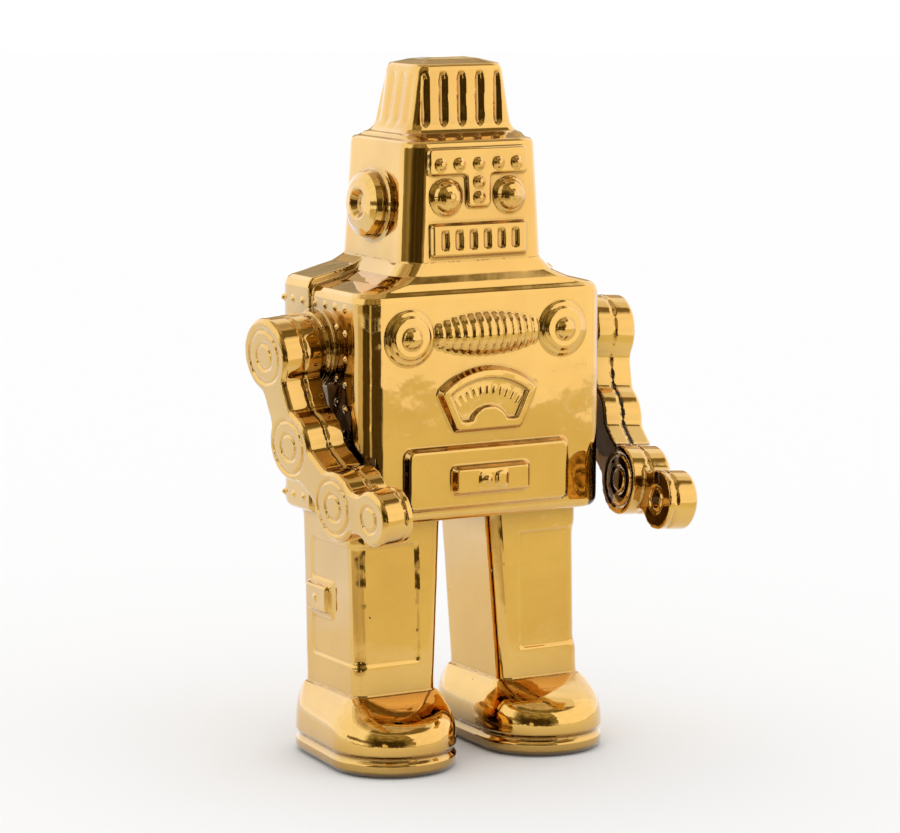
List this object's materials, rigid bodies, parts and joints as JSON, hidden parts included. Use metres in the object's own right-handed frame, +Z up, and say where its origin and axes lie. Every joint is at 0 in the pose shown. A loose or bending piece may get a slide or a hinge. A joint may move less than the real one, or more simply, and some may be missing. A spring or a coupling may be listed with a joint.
{
  "type": "robot figurine",
  "caption": "Standing toy-style robot figure in hollow glazed ceramic with a mirror-gold finish, applied relief parts and two big shoes.",
  "frame": {"origin": "on the floor, under the middle of the whole figure", "axes": "+Z up through the head; the figure faces -Y; its own left hand is on +X"},
  "size_m": [0.2344, 0.1556, 0.3878],
  "materials": {
    "gold_glaze": "mirror-bright fired gold lustre over smooth glaze",
    "sole_felt": "matt felt"
  },
  "bodies": {
    "root": {"torso_shell": "gold_glaze", "head_shell": "gold_glaze", "crown_cap": "gold_glaze", "ear_left": "gold_glaze", "ear_right": "gold_glaze", "brow_plate": "gold_glaze", "brow_rivets": "gold_glaze", "eye_left": "gold_glaze", "eye_right": "gold_glaze", "mouth_grille": "gold_glaze", "chest_knob_left": "gold_glaze", "chest_knob_right": "gold_glaze", "chest_coil": "gold_glaze", "gauge_bezel": "gold_glaze", "gauge_dial": "gold_glaze", "hatch_panel": "gold_glaze", "hatch_box": "gold_glaze", "hatch_latch": "gold_glaze", "side_rivets_left": "gold_glaze", "side_rivets_right": "gold_glaze", "arm_left": "gold_glaze", "arm_right": "gold_glaze", "leg_left": "gold_glaze", "leg_right": "gold_glaze", "leg_latch_left": "gold_glaze", "leg_latch_right": "gold_glaze", "shoe_left": "gold_glaze", "shoe_right": "gold_glaze", "sole_pad_left": "sole_felt", "sole_pad_right": "sole_felt"}
  },
  "joints": []
}
